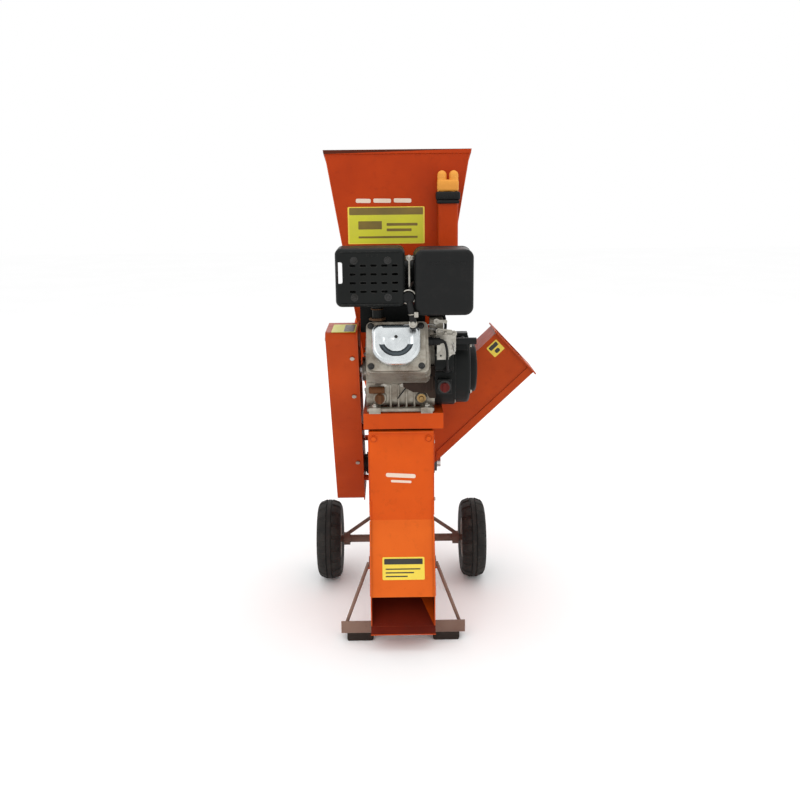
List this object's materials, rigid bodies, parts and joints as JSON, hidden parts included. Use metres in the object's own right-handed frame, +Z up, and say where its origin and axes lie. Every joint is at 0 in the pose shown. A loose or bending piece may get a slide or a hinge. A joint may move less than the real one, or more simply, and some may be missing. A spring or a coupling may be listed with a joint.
{
  "type": "wood chipper",
  "caption": "Petrol garden wood chipper: sheet-steel rotor housing, top hopper, angled side chute, front discharge, belt drive and two wheels.",
  "frame": {"origin": "on the ground, midway between the two front rubber feet", "axes": "+Z up, +Y from the discharge mouth to the wheels, +X towards the side chute"},
  "size_m": [0.684, 0.8418, 1.3771],
  "materials": {
    "body_orange": "semi-gloss powder coat",
    "axle_grey": "worn satin",
    "tyre": "matt",
    "rim_white": "gloss",
    "feet_rubber": "matt",
    "curtain_rubber": "matt",
    "belt_rubber": "matt",
    "engine_alloy": "cast",
    "cover_steel": "bright pressed steel",
    "shaft_steel": "turned",
    "tool_steel": "hardened",
    "cast_iron": "cast",
    "engine_black": "satin",
    "black_plastic": "matt",
    "zinc": "zinc plated",
    "filter_paper": "pleated",
    "knob_red": "gloss",
    "lead_rubber": "satin",
    "rope": "braided",
    "stick_yellow": "satin"
  },
  "bodies": {
    "frame": {"side_plate_left": "body_orange", "side_plate_right": "body_orange", "rotor_housing": "body_orange", "discharge_front": "body_orange", "discharge_screen": "tool_steel", "anvil": "tool_steel", "bearings": "cast_iron", "v_belts": "belt_rubber", "guard_back_plate": "body_orange", "guard_cover": "body_orange", "engine_deck": "body_orange", "crankcase": "engine_alloy", "cylinder_head": "engine_alloy", "valve_cover": "cover_steel", "fan_shroud": "engine_black", "recoil_cover": "engine_black", "starter_rope": "rope", "muffler": "engine_black", "muffler_shield": "engine_black", "air_cleaner_cover": "black_plastic", "air_cleaner_base": "black_plastic", "air_filter": "filter_paper", "carburettor": "engine_alloy", "fuel_tank": "engine_black", "spark_plug": "lead_rubber", "ignition_lead": "lead_rubber", "hopper": "body_orange", "stick_holder": "body_orange", "chipper_chute": "body_orange", "front_stand": "axle_grey", "rubber_feet": "feet_rubber", "axle": "axle_grey", "transport_handle": "body_orange", "fasteners": "zinc"},
    "rotor": {"rotor_shaft": "shaft_steel", "knife_disc": "tool_steel", "hammer_carrier": "tool_steel", "chipper_knives": "shaft_steel", "rotor_pulley": "cast_iron"},
    "hammers_1": {"hammers_1": "tool_steel"},
    "hammers_2": {"hammers_2": "tool_steel"},
    "hammers_3": {"hammers_3": "tool_steel"},
    "hammers_4": {"hammers_4": "tool_steel"},
    "crank": {"crankshaft": "shaft_steel", "engine_pulley": "cast_iron", "flywheel": "cast_iron"},
    "piston": {"piston": "engine_alloy"},
    "starter_grip": {"starter_grip": "black_plastic"},
    "fuel_cap": {"fuel_cap": "black_plastic"},
    "throttle_lever": {"throttle_lever": "zinc"},
    "choke_lever": {"choke_lever": "zinc"},
    "fuel_lever": {"fuel_lever": "black_plastic"},
    "switch_knob": {"switch_knob": "knob_red"},
    "dipstick": {"dipstick": "black_plastic"},
    "splash_curtain": {"splash_curtain": "curtain_rubber"},
    "push_stick": {"push_stick": "stick_yellow"},
    "wheel_left": {"tyre_left": "tyre", "wheel_rim_left": "rim_white"},
    "wheel_right": {"tyre_right": "tyre", "wheel_rim_right": "rim_white"}
  },
  "joints": [
    {"name": "rotor_spin", "type": "hinge", "parent": "frame", "child": "rotor", "pos_m": [0, 0.318, 0.428], "axis": [1, 0, 0], "continuous": true},
    {"name": "hammers_1_swing", "type": "hinge", "parent": "rotor", "child": "hammers_1", "pos_m": [0, 0.318, 0.536], "axis": [1, 0, 0], "range_deg": [-50, 50]},
    {"name": "hammers_2_swing", "type": "hinge", "parent": "rotor", "child": "hammers_2", "pos_m": [0, 0.21, 0.428], "axis": [1, 0, 0], "range_deg": [-50, 50]},
    {"name": "hammers_3_swing", "type": "hinge", "parent": "rotor", "child": "hammers_3", "pos_m": [0, 0.318, 0.32], "axis": [1, 0, 0], "range_deg": [-50, 50]},
    {"name": "hammers_4_swing", "type": "hinge", "parent": "rotor", "child": "hammers_4", "pos_m": [0, 0.426, 0.428], "axis": [1, 0, 0], "range_deg": [-50, 50]},
    {"name": "crank_spin", "type": "hinge", "parent": "frame", "child": "crank", "pos_m": [0, 0.131, 0.769], "axis": [1, 0, 0], "continuous": true},
    {"name": "piston_travel", "type": "slide", "parent": "frame", "child": "piston", "axis": [0, -0.8829, 0.4695], "range_m": [-0.032, 0.032]},
    {"name": "starter_pull", "type": "slide", "parent": "frame", "child": "starter_grip", "axis": [0, -1, 0], "range_m": [0, 0.45], "stiffness_N_per_m": 20},
    {"name": "fuel_cap_turn", "type": "hinge", "parent": "frame", "child": "fuel_cap", "pos_m": [-0.02, 0.18, 1.086], "axis": [0, 0, 1], "range_deg": [0, 90]},
    {"name": "throttle_turn", "type": "hinge", "parent": "frame", "child": "throttle_lever", "pos_m": [0.109, 0, 0.831], "axis": [0, 1, 0], "range_deg": [-60, 0]},
    {"name": "choke_turn", "type": "hinge", "parent": "frame", "child": "choke_lever", "pos_m": [0.099, 0.0295, 0.919], "axis": [0, 1, 0], "range_deg": [-50, 0]},
    {"name": "fuel_tap_turn", "type": "hinge", "parent": "frame", "child": "fuel_lever", "pos_m": [0.099, 0.0295, 0.893], "axis": [0, 1, 0], "range_deg": [0, 90]},
    {"name": "switch_turn", "type": "hinge", "parent": "frame", "child": "switch_knob", "pos_m": [0.12, 0.003, 0.743], "axis": [0, 1, 0], "range_deg": [0, 45]},
    {"name": "dipstick_turn", "type": "hinge", "parent": "frame", "child": "dipstick", "pos_m": [-0.058, 0.05, 0.701], "axis": [0, 1, 0], "range_deg": [0, 270]},
    {"name": "curtain_swing", "type": "hinge", "parent": "frame", "child": "splash_curtain", "pos_m": [0, 0.34594, 0.85], "axis": [1, 0, 0], "range_deg": [0, 75]},
    {"name": "stick_lift", "type": "slide", "parent": "frame", "child": "push_stick", "axis": [0, 0, 1], "range_m": [0, 0.2]},
    {"name": "wheel_left_spin", "type": "hinge", "parent": "frame", "child": "wheel_left", "pos_m": [-0.235, 0.423, 0.13], "axis": [1, 0, 0], "continuous": true},
    {"name": "wheel_right_spin", "type": "hinge", "parent": "frame", "child": "wheel_right", "pos_m": [0.235, 0.423, 0.13], "axis": [1, 0, 0], "continuous": true}
  ],
  "couplings": [
    {"joint": "crank_spin", "follows": "rotor_spin", "ratio": 1.337}
  ]
}
